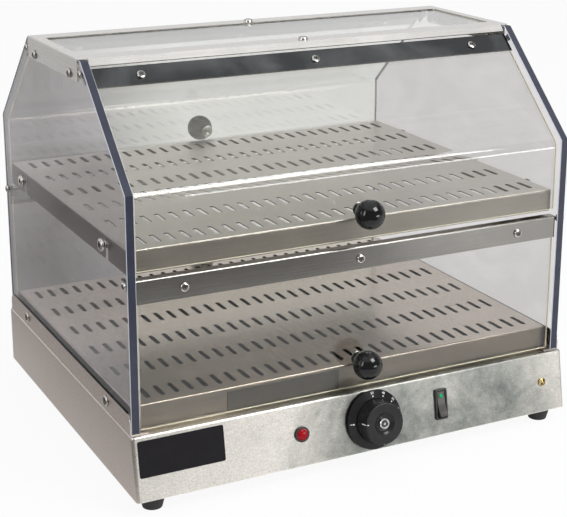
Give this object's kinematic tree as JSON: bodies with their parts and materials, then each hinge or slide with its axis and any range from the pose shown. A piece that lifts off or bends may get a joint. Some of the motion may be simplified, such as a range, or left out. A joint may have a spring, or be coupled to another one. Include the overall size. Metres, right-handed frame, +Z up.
{
  "type": "heated display case",
  "caption": "Countertop heated food display case with a folded steel heater base, clear side panes, hinged flaps with ball knobs at front and rear, a slotted shelf and a slotted tray.",
  "frame": {"origin": "centre of the bounding box at the level of the feet", "axes": "+Z up, +X to the right seen from the control panel, the control panel faces -Y"},
  "size_m": [0.5032, 0.4665, 0.4222],
  "materials": {
    "steel_sheet": "brushed stainless sheet with bright bends",
    "pan_steel": "dull sheet steel, heat stained",
    "bright_screw": "bright plated steel",
    "side_acrylic": "thick clear acrylic with dark polished edges",
    "clear_acrylic": "clear acrylic with pale green edges",
    "knob_black": "glossy black moulding",
    "dial_black": "satin black moulding",
    "label_black": "plain black film",
    "moulding_grey": "matt heat-proof moulding",
    "gland_black": "matt black moulding",
    "probe_copper": null,
    "heater_tube": "dark oxidised sheath",
    "lens_red": "red lens",
    "lens_green": "green lens",
    "brass_screw": "plain brass",
    "foot_rubber": "black rubber"
  },
  "bodies": {
    "case": {"base_casing": "steel_sheet", "bottom_plate": "steel_sheet", "bottom_screws": "bright_screw", "cable_gland": "gland_black", "cover_screws": "bright_screw", "earth_screw": "brass_screw", "foot_screws": "bright_screw", "gland_nut": "gland_black", "glass_screws": "bright_screw", "heat_pan": "pan_steel", "heater_supports": "pan_steel", "heating_element": "heater_tube", "label_plate": "label_black", "pan_screws": "bright_screw", "pane_rail_left": "steel_sheet", "pane_rail_right": "steel_sheet", "pilot_housing": "dial_black", "pilot_lens": "lens_red", "pivot_screws": "bright_screw", "probe_clips": "pan_steel", "rail_screws": "bright_screw", "rubber_feet": "foot_rubber", "shelf_studs": "bright_screw", "side_pane_left": "side_acrylic", "side_pane_right": "side_acrylic", "switch_housing": "dial_black", "terminal_block": "moulding_grey", "thermostat_body": "moulding_grey", "thermostat_probe": "probe_copper", "thermostat_screws": "bright_screw", "top_cover": "steel_sheet", "top_glass": "clear_acrylic"},
    "front_upper_flap": {"front_upper_leaf": "steel_sheet", "front_upper_pane": "clear_acrylic", "front_upper_knob": "knob_black", "front_upper_knob_screw": "bright_screw", "front_upper_leaf_screws": "bright_screw"},
    "front_lower_flap": {"front_lower_leaf": "steel_sheet", "front_lower_pane": "clear_acrylic", "front_lower_knob": "knob_black", "front_lower_knob_screw": "bright_screw", "front_lower_leaf_screws": "bright_screw"},
    "rear_upper_flap": {"rear_upper_leaf": "steel_sheet", "rear_upper_pane": "clear_acrylic", "rear_upper_knob": "knob_black", "rear_upper_knob_screw": "bright_screw", "rear_upper_leaf_screws": "bright_screw"},
    "rear_lower_flap": {"rear_lower_leaf": "steel_sheet", "rear_lower_pane": "clear_acrylic", "rear_lower_knob": "knob_black", "rear_lower_knob_screw": "bright_screw", "rear_lower_leaf_screws": "bright_screw"},
    "dial": {"thermostat_dial": "dial_black", "dial_cap": "bright_screw", "thermostat_shaft": "bright_screw"},
    "rocker": {"switch_rocker": "dial_black", "switch_lens": "lens_green"},
    "shelf": {"upper_shelf": "steel_sheet"},
    "tray": {"lower_tray": "steel_sheet", "tray_front_plate": "steel_sheet"}
  },
  "joints": [
    {"name": "front_upper_hinge", "type": "hinge", "parent": "case", "child": "front_upper_flap", "pos_m": [0, -0.0854, 0.40566], "axis": [-1, 0, 0], "range_deg": [0, 85]},
    {"name": "front_lower_hinge", "type": "hinge", "parent": "case", "child": "front_lower_flap", "pos_m": [0, -0.189, 0.226], "axis": [-1, 0, 0], "range_deg": [0, 85]},
    {"name": "rear_upper_hinge", "type": "hinge", "parent": "case", "child": "rear_upper_flap", "pos_m": [0, 0.0854, 0.40566], "axis": [1, 0, 0], "range_deg": [0, 85]},
    {"name": "rear_lower_hinge", "type": "hinge", "parent": "case", "child": "rear_lower_flap", "pos_m": [0, 0.189, 0.226], "axis": [1, 0, 0], "range_deg": [0, 85]},
    {"name": "dial_turn", "type": "hinge", "parent": "case", "child": "dial", "pos_m": [0.01, -0.20533, 0.04748], "axis": [0, 0.9851, -0.172], "range_deg": [0, 240]},
    {"name": "rocker_tilt", "type": "hinge", "parent": "case", "child": "rocker", "pos_m": [0.092, -0.20533, 0.04748], "axis": [1, 0, 0], "range_deg": [0, 22]},
    {"name": "shelf_lift", "type": "slide", "parent": "case", "child": "shelf", "axis": [0, 0, 1], "range_m": [0, 0.025]},
    {"name": "tray_lift", "type": "slide", "parent": "case", "child": "tray", "axis": [0, 0, 1], "range_m": [0, 0.025]}
  ]
}
